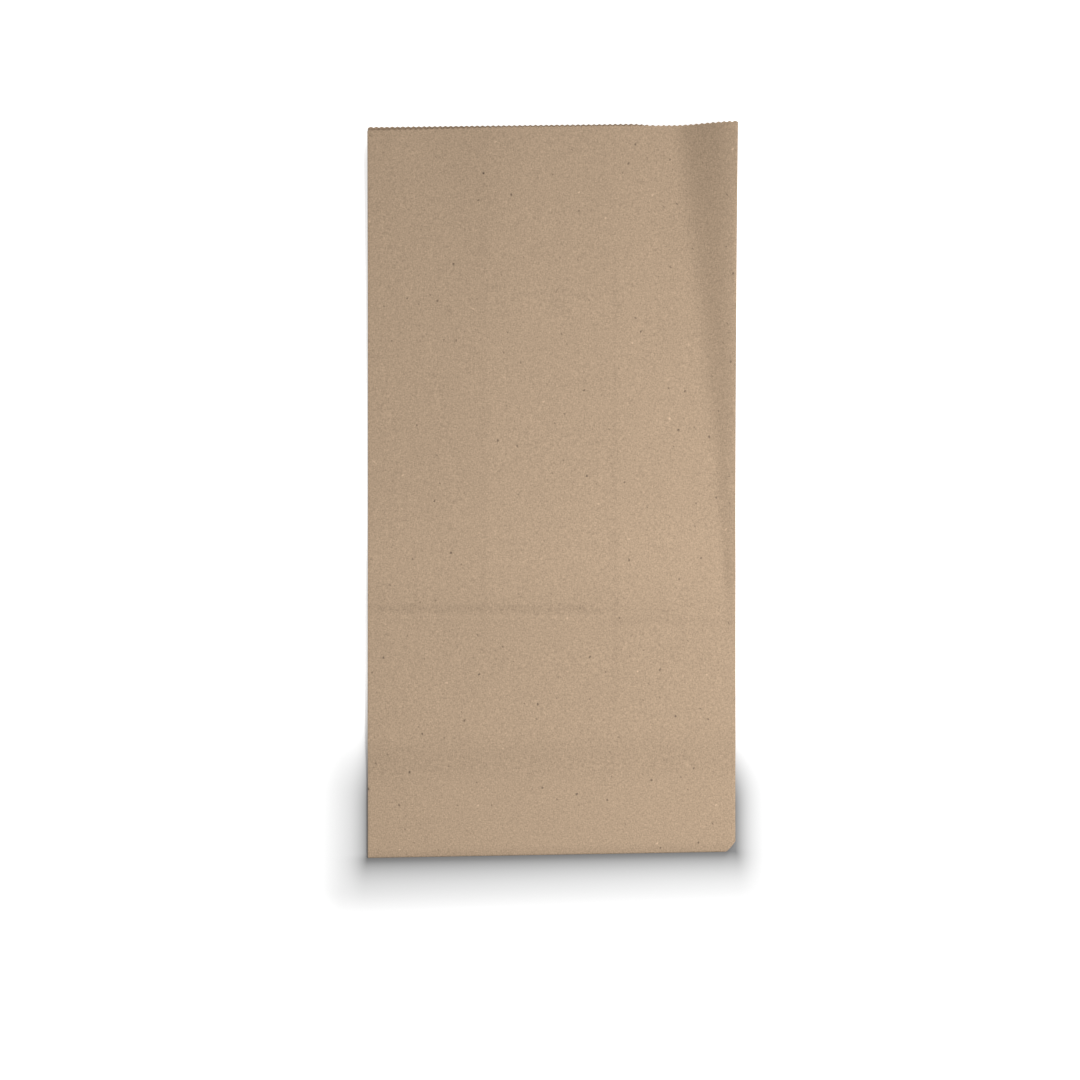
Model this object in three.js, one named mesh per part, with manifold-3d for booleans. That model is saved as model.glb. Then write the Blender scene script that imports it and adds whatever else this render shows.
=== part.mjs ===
// A plain kraft paper bag with side gussets and a pasted block bottom, folded flat.
// It is one sheet of paper: pasted into a tube along one seam, creased and pasted shut below.
// The bag lies on its folded-over bottom, as on a table, with its plain back panel up.
// +X runs across the bag, +Y from the bottom fold to the mouth, +Z up. Millimetres.
import * as THREE from "three";
import { mergeVertices } from "three/addons/utils/BufferGeometryUtils.js";
import Module from "manifold-3d";

const wasm = await Module();
wasm.setup();

// Driving sizes of the bag.
const BAG_WIDTH = 155.6;
const BAG_LENGTH = 307.6;
const BAG_DEPTH = 102;
const PAPER = 0.12;
const PLY_GAP = 0.1;
const PASTE_LAP = 20;
const SEAM_LAP = 20;
const TOOTH_PITCH = 2.25;
const TOOTH_DEPTH = 0.5;
const BLUNT_CORNER = 3.8;

// How the folded bag lies: heights that the back panel springs up by at the mouth,
// how far the gussets hold it up, and how skew its folds and its cut are.
const LEFT_LIFT = 2.5;
const MIDDLE_LIFT = 4;
const CORNER_LIFT = 13;
const DOME = 2.2;
const FRONT_LIP = 1.9;
const BOTTOM_SKEW = 0.0172;
const MOUTH_SKEW = 0.012;

// Lengths over which the plies climb onto the bottom and come down behind it,
// and over which the gussets start to hold the back panel up.
const CLIMB = 20;
const DESCENT = 15;
const DOME_RISE = 60;

// How finely the paper is divided.
const SIDE_SPANS = 3;
const MIDDLE_SPANS = 4;
const GUSSET_SPANS = 6;
const FRONT_SPANS = 8;
const MOUTH_ROWS = 8;
const BEND_ANGLES = [45, 0, -45];

// Places that follow from the driving sizes.
const HALF = BAG_WIDTH / 2;
const FOLD = BAG_DEPTH / 2;
const INNER = HALF - FOLD;
const STEP = PAPER + PLY_GAP;
const BEND = STEP / 2;
const SLANT = BEND * Math.SQRT2;
const PASTE = 0.01;
const TONGUE = 0.6;
const TUCK_TONGUE = 0.12;
const INSET = 0.07;
const FULL = PAPER / 2;
const NESTED = FULL - PASTE;
const FLAP = FOLD + PASTE_LAP / 2;

// Middle heights of the plies from the floor up.
const OUTER_FLAP_LEVEL = 0.5 * PAPER;
const INNER_FLAP_LEVEL = 1.5 * PAPER;
const EAR_LEVEL = 3.5 * PAPER;
const TUCK_LEVEL = EAR_LEVEL + STEP;
const TURNED_GUSSET_LEVEL = TUCK_LEVEL + STEP;
const TURNED_FRONT_LEVEL = TURNED_GUSSET_LEVEL + STEP;
const FRONT_LEVEL = TURNED_FRONT_LEVEL + STEP;
const BACK_HEM = (TURNED_FRONT_LEVEL - OUTER_FLAP_LEVEL) / 2;
const FRONT_HEM = (TURNED_FRONT_LEVEL - INNER_FLAP_LEVEL) / 2;

// The front panel turns back on itself about this line across the bag.
const PIVOT_LEVEL = (TURNED_FRONT_LEVEL + FRONT_LEVEL) / 2;
const PIVOT = FOLD + 2 * STEP;
const LIFT_START = BAG_DEPTH + DESCENT + 3;
const LAST_ROW = BAG_LENGTH - TOOTH_DEPTH - 1.2;

// Rises smoothly from 0 to 1 as the value goes from 0 to 1.
function smooth(value) {
  const u = THREE.MathUtils.clamp(value, 0, 1);
  return u * u * (3 - 2 * u);
}

// Evenly spaced numbers from one end to the other, both ends included.
function spread(from, to, spans) {
  return Array.from({ length: spans + 1 }, (_, i) => from + ((to - from) * i) / spans);
}

// How far the mouth springs up: a low left edge, a broad middle and a bent-up right corner.
// The bent part is a strip that narrows from the mouth down to where the lift starts.
function lift(x, y) {
  const across = x / HALF;
  const along = Math.max(0, (y - LIFT_START) / (BAG_LENGTH - LIFT_START));
  const left = LEFT_LIFT + (MIDDLE_LIFT - LEFT_LIFT) * smooth((across + 0.7) / 0.58);
  const crease = 0.95 - 0.23 * along;
  const corner = (CORNER_LIFT - MIDDLE_LIFT) * smooth((across - crease) / (1 - crease));
  return (left + corner) * along * along;
}

// How far the closed gussets hold the plies above them up, sloping from the side folds inwards.
function dome(x, y) {
  const inward = THREE.MathUtils.clamp((HALF - Math.abs(x)) / FOLD, 0, 1);
  return DOME * inward * smooth((y - PIVOT) / DOME_RISE);
}

// Height of the front panel, which comes down to the floor behind the folded bottom.
function frontLevel(y) {
  const down = smooth((y - BAG_DEPTH - 2) / DESCENT);
  return FRONT_LEVEL + (FULL - FRONT_LEVEL) * down;
}

// Height of the back panel where it is pressed flat on the other plies.
function backLevel(y) {
  if (y < PIVOT) {
    const up = smooth((y - FOLD + CLIMB) / (CLIMB - 2 * BEND));
    return TURNED_FRONT_LEVEL + 4 * STEP * up;
  }
  return frontLevel(y) + 3 * STEP;
}

function backHeight(x, y) {
  return backLevel(y) + dome(x, y) + lift(x, y);
}

// The gusset ply next to the back panel, sprung up with it at the side fold only.
function upperGussetHeight(x, y) {
  const outward = smooth((Math.abs(x) - INNER) / FOLD);
  return backLevel(y) - STEP + dome(x, y) + lift(x, y) * outward;
}

// The gusset ply next to the front panel.
function lowerGussetHeight(x, y) {
  return frontLevel(y) + STEP + dome(x, y);
}

// One point of a sheet: its place, the way its outer face looks and half its thickness.
// turn is 0 on the back panel and 1 on the front panel, with the gusset between.
function sheetPoint(x, y, z, normal, turn = 0, half = FULL) {
  return { at: new THREE.Vector3(x, y, z), normal: new THREE.Vector3(...normal), turn, half };
}

// A half-round bend between two plies at one side of the bag.
// side is 1 or -1, x the bend's centre, and outward tells whether it bulges away from the middle.
function bendPoints(x, y, high, low, side, outward, downward, turn) {
  const middle = (high + low) / 2;
  const radius = (high - low) / 2;
  const angles = downward ? BEND_ANGLES : [...BEND_ANGLES].reverse();
  return angles.map((degrees) => {
    const angle = THREE.MathUtils.degToRad(degrees);
    const reach = Math.cos(angle) * side;
    const px = x + BEND * reach * (outward ? 1 : -1);
    const normal = outward ? [reach, 0, Math.sin(angle)] : [reach, 0, -Math.sin(angle)];
    return sheetPoint(px, y, middle + radius * Math.sin(angle), normal, turn);
  });
}

// The back panel with a gusset ply folded under it at each side, as one row of points.
// innerEnd is how far from the middle of the bag the gusset plies end in this row.
function backRow(y, innerEnd) {
  const edge = HALF - BEND;
  const high = (side) => backHeight(side * HALF, y);
  const low = (side) => upperGussetHeight(side * HALF, y);
  const gusset = (side, xs) => xs.map((x) => {
    const turn = (0.5 * (HALF - x)) / FOLD;
    return sheetPoint(side * x, y, upperGussetHeight(side * x, y), [0, 0, -1], turn);
  });
  return [
    ...gusset(-1, spread(innerEnd, edge, GUSSET_SPANS)),
    ...bendPoints(-edge, y, high(-1), low(-1), -1, true, false, 0),
    ...backColumns().map((x) => sheetPoint(x, y, backHeight(x, y), [0, 0, 1])),
    ...bendPoints(edge, y, high(1), low(1), 1, true, true, 0),
    ...gusset(1, spread(edge, innerEnd, GUSSET_SPANS)),
  ];
}

// Places of the back panel's columns, with one on each side of the gussets' inner folds.
function backColumns() {
  const edge = HALF - BEND;
  return [
    ...spread(-edge, -INNER, SIDE_SPANS),
    ...spread(-INNER, INNER, MIDDLE_SPANS).slice(1, -1),
    ...spread(INNER, edge, SIDE_SPANS + 3),
  ];
}

// The front panel with a gusset ply folded over it at each side, as one row of points.
function frontRow(y, innerEnd) {
  const edge = HALF - BEND;
  const level = frontLevel(y);
  const gusset = (side, xs) => xs.map((x) => {
    const turn = 1 - (0.5 * (HALF - x)) / FOLD;
    return sheetPoint(side * x, y, lowerGussetHeight(x, y), [0, 0, 1], turn);
  });
  return [
    ...gusset(1, spread(innerEnd, edge, GUSSET_SPANS)),
    ...bendPoints(edge, y, level + STEP, level, 1, true, true, 1),
    ...spread(edge, -edge, FRONT_SPANS).map((x) => sheetPoint(x, y, level, [0, 0, -1], 1)),
    ...bendPoints(-edge, y, level + STEP, level, -1, true, false, 1),
    ...gusset(-1, spread(edge, innerEnd, GUSSET_SPANS)),
  ];
}

// The gusset's inner fold at one side, as one row of points.
function innerBend(y, side) {
  const high = upperGussetHeight(side * INNER, y);
  const low = lowerGussetHeight(INNER, y);
  return bendPoints(side * (INNER + BEND), y, high, low, side, false, side > 0, 0.5);
}

// Turns points of the front panel about the pivot line: 0 leaves them, 180 turns them under.
function turnBack(points, degrees) {
  const angle = THREE.MathUtils.degToRad(degrees);
  return points.map(({ at, normal, turn, half }) => {
    const arm = at.z - PIVOT_LEVEL;
    const y = PIVOT - arm * Math.sin(angle);
    const z = PIVOT_LEVEL + arm * Math.cos(angle);
    const turned = [normal.x, -normal.z * Math.sin(angle), normal.z * Math.cos(angle)];
    return sheetPoint(at.x, y, z, turned, turn, half);
  });
}

// The part of the front panel that lies under the rest, reversed, out to the bottom's far fold.
function turnedRow(y) {
  const innerEnd = HALF - (BAG_DEPTH - y) + SLANT;
  const flat = turnBack(frontRow(PIVOT, innerEnd), 180);
  return flat.map(({ at, normal, turn }) => sheetPoint(at.x, y, at.z, normal.toArray(), turn));
}

// Rows that carry a panel round the bottom's fold into the paste between the flaps.
// They run from the tongue in the paste to the last row before the panel.
function hemRows(points, radius, level, direction) {
  const middle = level + radius;
  const tongue = [TONGUE, 0].map((inward) => points.map(({ at, turn }) => {
    return sheetPoint(at.x, at.y + inward * direction, level, [0, 0, -1], turn, NESTED);
  }));
  const round = [...BEND_ANGLES].reverse().map((degrees) => points.map(({ at, turn }) => {
    const angle = THREE.MathUtils.degToRad(degrees);
    const y = at.y - radius * Math.cos(angle) * direction;
    const normal = [0, -Math.cos(angle) * direction, Math.sin(angle)];
    return sheetPoint(at.x, y, middle + radius * Math.sin(angle), normal, turn);
  }));
  return [...tongue, ...round];
}

// Where the knife's teeth put the mouth's edge.
function cutEdge(x) {
  const phase = Math.abs(x) / TOOTH_PITCH;
  return BAG_LENGTH - TOOTH_DEPTH * Math.abs(2 * (phase - Math.round(phase)));
}

// Places across the bag of the teeth's tips and roots between two columns.
function toothPlaces(from, to) {
  const pitch = TOOTH_PITCH / 2;
  const low = Math.min(from, to) + 0.05;
  const high = Math.max(from, to) - 0.05;
  const first = Math.ceil(low / pitch);
  const count = Math.max(0, Math.floor(high / pitch) - first + 1);
  const xs = Array.from({ length: count }, (_, i) => (first + i) * pitch);
  return from < to ? xs : xs.reverse();
}

// A point part of the way from one point of a sheet to another.
function between(from, to, share) {
  return {
    at: from.at.clone().lerp(to.at, share),
    normal: from.normal.clone().lerp(to.normal, share).normalize(),
    turn: THREE.MathUtils.lerp(from.turn, to.turn, share),
    half: from.half,
  };
}

// The point of the cut edge between the last row and the tips' line.
function cutPoint(last, tip) {
  return between(last, tip, (cutEdge(last.at.x) - LAST_ROW) / (BAG_LENGTH - LAST_ROW));
}

// A sheet of paper as points joined by triangles, turned into a closed solid by thickening it.
class Sheet {
  constructor() {
    this.points = [];
    this.triangles = [];
  }

  add(points) {
    const first = this.points.length;
    this.points.push(...points);
    return points.map((_, i) => first + i);
  }

  // Joins two rows of equal length, the first of them nearer the bag's bottom.
  band(lower, upper) {
    for (let i = 0; i + 1 < lower.length; i += 1) {
      this.triangles.push([lower[i], lower[i + 1], upper[i + 1]]);
      this.triangles.push([lower[i], upper[i + 1], upper[i]]);
    }
  }

  // Joins a row's step from one column to the next with the many points of the cut edge.
  fan(left, right, edge) {
    const middle = Math.floor((edge.length - 1) / 2);
    for (let i = 0; i < middle; i += 1) {
      this.triangles.push([left, edge[i + 1], edge[i]]);
    }
    this.triangles.push([left, right, edge[middle]]);
    for (let i = middle; i + 1 < edge.length; i += 1) {
      this.triangles.push([right, edge[i + 1], edge[i]]);
    }
  }

  mirrored() {
    const sheet = new Sheet();
    sheet.points = this.points.map(({ at, normal, turn, half }) => {
      return sheetPoint(-at.x, at.y, at.z, [-normal.x, normal.y, normal.z], turn, half);
    });
    sheet.triangles = this.triangles.map(([a, b, c]) => [a, c, b]);
    return sheet;
  }

  // Both faces of the sheet, and a wall along every edge that only one triangle uses.
  solid() {
    const count = this.points.length;
    const place = (sign) => this.points.map(({ at, normal, turn, half }) => {
      const onFace = at.clone().addScaledVector(normal, sign * half);
      return settle(onFace, turn);
    });
    const faces = [];
    const rims = new Map();
    for (const [a, b, c] of this.triangles) {
      faces.push(a, b, c, count + a, count + c, count + b);
      for (const [i, j] of [[a, b], [b, c], [c, a]]) {
        if (!rims.delete(`${j} ${i}`)) {
          rims.set(`${i} ${j}`, [i, j]);
        }
      }
    }
    for (const [i, j] of rims.values()) {
      faces.push(j, i, count + i, j, count + i, count + j);
    }
    const places = [...place(1), ...place(-1)].flatMap((point) => point.toArray());
    return toSolid(places, faces);
  }
}

// Puts a point of the evenly folded bag where the skew folds and the slipped front leave it.
// The front slips out at the mouth, less so at the right where the mouth is bent up.
function settle(point, turn) {
  const along = THREE.MathUtils.clamp(point.y / BAG_LENGTH, 0, 1);
  const lip = FRONT_LIP * (1 - 0.7 * smooth((point.x / HALF - 0.42) / 0.25));
  const slip = lip * turn * smooth((point.y - BAG_DEPTH) / (BAG_LENGTH - BAG_DEPTH));
  const skew = BOTTOM_SKEW + (MOUTH_SKEW - BOTTOM_SKEW) * along;
  return new THREE.Vector3(point.x, point.y + slip + skew * point.x, point.z);
}

function toSolid(places, faces) {
  const mesh = new wasm.Mesh({
    numProp: 3,
    vertProperties: new Float32Array(places),
    triVerts: new Uint32Array(faces),
  });
  return new wasm.Manifold(mesh);
}

// A flat plate of paper with a straight-sided outline, from one height to another.
function plate(outline, bottom, top) {
  const shape = new THREE.Shape(outline.map(([x, y]) => new THREE.Vector2(x, y)));
  const raw = new THREE.ExtrudeGeometry(shape, { depth: top - bottom, bevelEnabled: false });
  raw.deleteAttribute("normal");
  raw.deleteAttribute("uv");
  const merged = mergeVertices(raw.translate(0, 0, bottom));
  const position = merged.getAttribute("position");
  const places = [];
  for (let i = 0; i < position.count; i += 1) {
    const point = new THREE.Vector3().fromBufferAttribute(position, i);
    places.push(...settle(point, 0).toArray());
  }
  return toSolid(places, [...merged.index.array]);
}

// One closed row round the tube above the pivot line.
function loopPoints(y) {
  const innerEnd = INNER + BEND;
  const back = backRow(y, innerEnd);
  const front = frontRow(y, innerEnd);
  return [...back, ...innerBend(y, 1), ...front, ...innerBend(y, -1)];
}

// Rows below the pivot line, where the back panel lies on the bottom's tucked-in sides.
function lowRows() {
  const climb = spread(FOLD - CLIMB, FOLD - 2 * BEND, 4);
  return [...spread(BACK_HEM, FOLD - CLIMB, 4).slice(0, -1), ...climb];
}

// Rows from the pivot line to the mouth, closer together where the paper bends.
function highRows() {
  const descent = spread(BAG_DEPTH + 2, BAG_DEPTH + 2 + DESCENT, 4);
  return [PIVOT, BAG_DEPTH - 12, ...descent, ...spread(LIFT_START + 10, LAST_ROW, MOUTH_ROWS)];
}

// Rows of the reversed part of the front, from the bottom's far fold back to the pivot line.
function turnedRows() {
  return spread(BAG_DEPTH - FRONT_HEM, PIVOT, 3);
}

// The tube of the bag: back, front and gussets, with the bends at the bottom's two long folds.
function tube() {
  const sheet = new Sheet();
  const high = highRows().map((y) => sheet.add(loopPoints(y)));
  const low = lowRows().map((y) => sheet.add(backRow(y, HALF - y + SLANT)));
  const turned = turnedRows().map((y) => sheet.add(turnedRow(y)));
  const pivot = frontRow(PIVOT, INNER + BEND);
  const swing = [135, 90, 45].map((degrees) => sheet.add(turnBack(pivot, degrees)));
  const frontStart = low[0].length + BEND_ANGLES.length;
  const back = high[0].slice(0, low[0].length);
  const front = high[0].slice(frontStart, frontStart + pivot.length);
  joinRows(sheet, high.map((row) => [...row, row[0]]));
  joinRows(sheet, [...low, back]);
  joinRows(sheet, [...turned, ...swing, front]);
  addHem(sheet, low[0], BACK_HEM, OUTER_FLAP_LEVEL, 1);
  addHem(sheet, turned[0], FRONT_HEM, INNER_FLAP_LEVEL, -1);
  addTeeth(sheet, high[high.length - 1]);
  return sheet;
}

function joinRows(sheet, rows) {
  for (let i = 0; i + 1 < rows.length; i += 1) {
    sheet.band(rows[i], rows[i + 1]);
  }
}

// Carries the flat columns of a panel's first row round the fold and into the paste.
function addHem(sheet, row, radius, level, direction) {
  const skip = GUSSET_SPANS + 1 + BEND_ANGLES.length;
  const flat = row.slice(skip, row.length - skip);
  const hem = hemRows(flat.map((i) => sheet.points[i]), radius, level, direction);
  joinRows(sheet, [...hem.map((points) => sheet.add(points)), flat]);
}

// The toothed strip that the knife leaves above the last row, all round the mouth.
function addTeeth(sheet, row) {
  const last = row.map((i) => sheet.points[i]);
  const tips = loopPoints(BAG_LENGTH);
  const tops = sheet.add(last.map((point, i) => cutPoint(point, tips[i])));
  for (let i = 0; i < row.length; i += 1) {
    const next = (i + 1) % row.length;
    const from = last[i].at.x;
    const to = last[next].at.x;
    const teeth = toothPlaces(from, to).map((x) => {
      const share = (x - from) / (to - from);
      return cutPoint(between(last[i], last[next], share), between(tips[i], tips[next], share));
    });
    sheet.fan(row[i], row[next], [tops[i], ...sheet.add(teeth), tops[next]]);
  }
}

// One tucked-in side of the bottom: a triangle between two slanting folds and the ear's fold.
function tuck() {
  const sheet = new Sheet();
  const near = [BACK_HEM + INSET, ...lowRows().slice(1, -1)].reverse();
  const far = spread(BAG_DEPTH - FRONT_HEM - INSET, FOLD + 2, 4);
  const flatRow = (y) => sheet.add(tuckRow(y).flat);
  const farRows = far.map(flatRow);
  const nearRows = near.map(flatRow);
  joinRows(sheet, [...farRows, flatRow(FOLD), ...nearRows]);
  const slanted = (ys, rows) => ys.map((y, i) => {
    const tip = rows[i][rows[i].length - 1];
    return [tip, ...sheet.add(tuckRow(y).slanted)];
  });
  joinRows(sheet, slanted(far, farRows));
  joinRows(sheet, slanted(near, nearRows));
  return sheet;
}

// One row of the tuck: the tongue in the ear, the bend, the flat, and the slanting fold.
function tuckRow(y) {
  const edge = HALF - BEND;
  const width = Math.min(y, BAG_DEPTH - y);
  const centre = HALF - width + SLANT;
  const lean = y < FOLD ? 1 : -1;
  const above = y < FOLD ? backLevel(y) - STEP : TURNED_GUSSET_LEVEL;
  const middle = (TUCK_LEVEL + above) / 2;
  const radius = (above - TUCK_LEVEL) / 2;
  const flat = [
    sheetPoint(edge - TONGUE, y, EAR_LEVEL, [0, 0, -1], 0, NESTED),
    sheetPoint(edge, y, EAR_LEVEL, [0, 0, -1], 0, NESTED),
    ...bendPoints(edge, y, TUCK_LEVEL, EAR_LEVEL, 1, true, false, 0),
    ...spread(edge, centre, 2).map((x) => sheetPoint(x, y, TUCK_LEVEL, [0, 0, 1])),
  ];
  const slanted = [-45, 0, 45].map((degrees) => {
    const angle = THREE.MathUtils.degToRad(degrees);
    const away = Math.cos(angle) * Math.SQRT1_2;
    const x = centre - SLANT * Math.cos(angle);
    const normal = [away, away * lean, -Math.sin(angle)];
    return sheetPoint(x, y, middle + radius * Math.sin(angle), normal);
  });
  for (const x of [centre, centre + TUCK_TONGUE]) {
    slanted.push(sheetPoint(x, y, above, [0, 0, -1], 0, NESTED));
  }
  return { flat, slanted };
}

// The pasted seam that closes the sheet into a tube: a second ply inside the front panel.
function seam() {
  const sheet = new Sheet();
  const middle = -INNER / 2 + 1;
  const ends = [middle + SEAM_LAP / 2, middle - SEAM_LAP / 2];
  const inside = ({ at, normal }) => {
    const place = at.clone().addScaledVector(normal, PASTE - PAPER);
    return sheetPoint(place.x, place.y, place.z, normal.toArray(), 1);
  };
  const onFront = (y) => ends.map((x) => sheetPoint(x, y, frontLevel(y), [0, 0, -1], 1));
  const flat = [...highRows().slice(0, -1), LAST_ROW - TONGUE].map((y) => onFront(y));
  const swung = [180, 135, 90, 45].map((degrees) => turnBack(onFront(PIVOT), degrees));
  const start = swung[0].map(({ at, normal }) => {
    return sheetPoint(at.x, BAG_DEPTH - 2, at.z, normal.toArray(), 1);
  });
  const rows = [start, ...swung, ...flat].map((row) => sheet.add(row.map(inside)));
  joinRows(sheet, rows);
  return sheet;
}

// The block bottom's pasted plies: two flaps, four corner triangles and two ears.
function bottomPlies() {
  const near = BACK_HEM;
  const far = BAG_DEPTH - FRONT_HEM;
  const flap = (from, to, slope) => [
    [-HALF + slope * from, from],
    [HALF - slope * from, from],
    [HALF - slope * to, to],
    [-HALF + slope * to, to],
  ];
  const outer = plate(flap(near + INSET, FLAP, 1), 0, PAPER + PASTE);
  const mirrorY = (outline) => outline.map(([x, y]) => [x, BAG_DEPTH - y]).reverse();
  const inner = plate(mirrorY(flap(FRONT_HEM + INSET, FLAP, 1)), PAPER, 2 * PAPER + PASTE);
  const plies = [outer, inner];
  const root = HALF - FLAP;
  for (const side of [1, -1]) {
    const facing = (outline) => {
      const placed = outline.map(([x, y]) => [side * x, y]);
      return side > 0 ? placed : placed.reverse();
    };
    const tip = HALF - BEND - INSET;
    const ear = [[root, near - INSET], [tip, near - INSET], [tip, far + INSET], [root, far + INSET]];
    const inside = root + 3 * INSET;
    const corner = (hem) => {
      const start = hem + 2 * INSET;
      return [[inside, start], [HALF - start - 3 * INSET, start], [inside, FLAP - 6 * INSET]];
    };
    plies.push(plate(facing(ear), 3 * PAPER, 4 * PAPER));
    plies.push(plate(facing(corner(near)), 2 * PAPER, 3 * PAPER + PASTE));
    plies.push(plate(facing(mirrorY(corner(FRONT_HEM))), 2 * PAPER, 3 * PAPER + PASTE));
  }
  return plies;
}

// The worn lower right corner, cut off slantwise through every ply.
function bluntCorner() {
  const near = HALF - BLUNT_CORNER - 5;
  const corner = [[HALF + 5, -5], [HALF + 5, BLUNT_CORNER + 5], [near, -5]];
  return plate(corner, -1, TURNED_FRONT_LEVEL + 2);
}

function bagGeometry() {
  const side = tuck();
  let bag = tube().solid();
  for (const piece of [side.solid(), side.mirrored().solid(), seam().solid(), ...bottomPlies()]) {
    bag = bag.add(piece);
  }
  const mesh = bag.subtract(bluntCorner()).getMesh();
  const geometry = new THREE.BufferGeometry();
  geometry.setAttribute("position", new THREE.BufferAttribute(mesh.vertProperties, 3));
  geometry.setIndex(new THREE.BufferAttribute(mesh.triVerts, 1));
  geometry.computeBoundingBox();
  const { min, max } = geometry.boundingBox;
  geometry.translate(-(min.x + max.x) / 2, -(min.y + max.y) / 2, -min.z);
  geometry.computeVertexNormals();
  return geometry;
}

const kraft = new THREE.MeshStandardMaterial({ color: 0xb59d84, roughness: 0.9, metalness: 0 });
const bag = new THREE.Mesh(bagGeometry(), kraft);
bag.name = "bag";

const group = new THREE.Group();
group.add(bag);
export default group;
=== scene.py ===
"""Looks of a plain kraft paper bag that lies folded flat on its folded-over bottom."""

import logging
import math
from dataclasses import dataclass, field
from enum import Enum

import bpy
import numpy as np
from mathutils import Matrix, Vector


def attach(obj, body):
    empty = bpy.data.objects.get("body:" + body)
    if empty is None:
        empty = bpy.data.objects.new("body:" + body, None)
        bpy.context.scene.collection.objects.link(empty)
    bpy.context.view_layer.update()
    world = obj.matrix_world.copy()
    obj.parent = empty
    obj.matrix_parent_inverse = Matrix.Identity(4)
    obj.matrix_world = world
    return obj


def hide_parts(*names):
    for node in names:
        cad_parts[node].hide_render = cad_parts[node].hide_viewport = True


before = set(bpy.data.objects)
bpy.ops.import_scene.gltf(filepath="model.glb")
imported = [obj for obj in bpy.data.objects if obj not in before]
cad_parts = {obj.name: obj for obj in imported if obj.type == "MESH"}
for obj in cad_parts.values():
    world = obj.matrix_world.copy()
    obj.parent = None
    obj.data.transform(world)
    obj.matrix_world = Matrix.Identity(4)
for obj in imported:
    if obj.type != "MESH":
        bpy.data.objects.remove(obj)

log = logging.getLogger("kraft_bag")

MM = 0.001
PAPER = 0.12
UP = (0.0, 0.0, 1.0)
DOWN = (0.0, 0.0, -1.0)
WHITE = (1.0, 1.0, 1.0, 1.0)

Triple = tuple[float, float, float]
Numbers = float | np.ndarray
Socket = bpy.types.NodeSocket
Input = float | Socket
Inputs = dict[int | str, Input | tuple[float, ...]]


class Side(Enum):
    """The two sides of the bag, as seen from above with the mouth at the top."""

    LEFT = -1
    RIGHT = 1


class Bulge(Enum):
    """Which way a side fold bulges: away from the bag's middle or towards it."""

    OUTWARD = 1
    INWARD = -1


def smooth(value: np.ndarray) -> np.ndarray:
    """Rise smoothly from 0 to 1 as the value does, by 3u^2 - 2u^3 of the clamped value."""
    u = np.clip(value, 0.0, 1.0)
    return u * u * (3.0 - 2.0 * u)


@dataclass
class Points:
    """Points of a sheet of paper, as arrays of one common shape.

    at is each point's place in millimetres, normal the way its outer face looks, turn is 0 on
    the back panel and 1 on the front panel, and half is half the paper's thickness.
    """

    at: np.ndarray
    normal: np.ndarray
    turn: np.ndarray
    half: np.ndarray

    @staticmethod
    def of(
        x: Numbers,
        y: Numbers,
        z: Numbers,
        normal: tuple[Numbers, Numbers, Numbers],
        turn: Numbers = 0.0,
        half: Numbers = PAPER / 2.0,
    ) -> "Points":
        """Spread single values and rows over one common grid of points.

        Args:
            x: Places across the bag.
            y: Places along the bag.
            z: Heights.
            normal: Three numbers or arrays, the way the outer face looks.
            turn: How far round the gusset the points lie.
            half: Half the thickness.

        Returns:
            The points.
        """
        parts = np.broadcast_arrays(x, y, z, *normal, turn, half)
        numbers = [np.asarray(part, dtype=float) for part in parts]
        at = np.stack(numbers[0:3], axis=-1)
        return Points(at, np.stack(numbers[3:6], axis=-1), numbers[6].copy(), numbers[7].copy())

    @staticmethod
    def joined(pieces: list["Points"], axis: int = 1) -> "Points":
        """Put grids of points side by side, or after one another with an axis of 0."""
        names = ("at", "normal", "turn", "half")
        return Points(*(np.concatenate([getattr(p, n) for p in pieces], axis) for n in names))

    def pick(self, key: tuple[slice, ...] | slice) -> "Points":
        """Pick some of the points by an index on the grid's own axes."""
        return Points(self.at[key], self.normal[key], self.turn[key], self.half[key])

    def mixed(self, other: "Points", share: np.ndarray) -> "Points":
        """Go part of the way to other points of the same shape, by a share for each point."""
        at, turn = self.at, self.turn
        return Points(
            at * (1.0 - share[..., None]) + other.at * share[..., None],
            self.normal,
            turn * (1.0 - share) + other.turn * share,
            self.half,
        )


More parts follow.
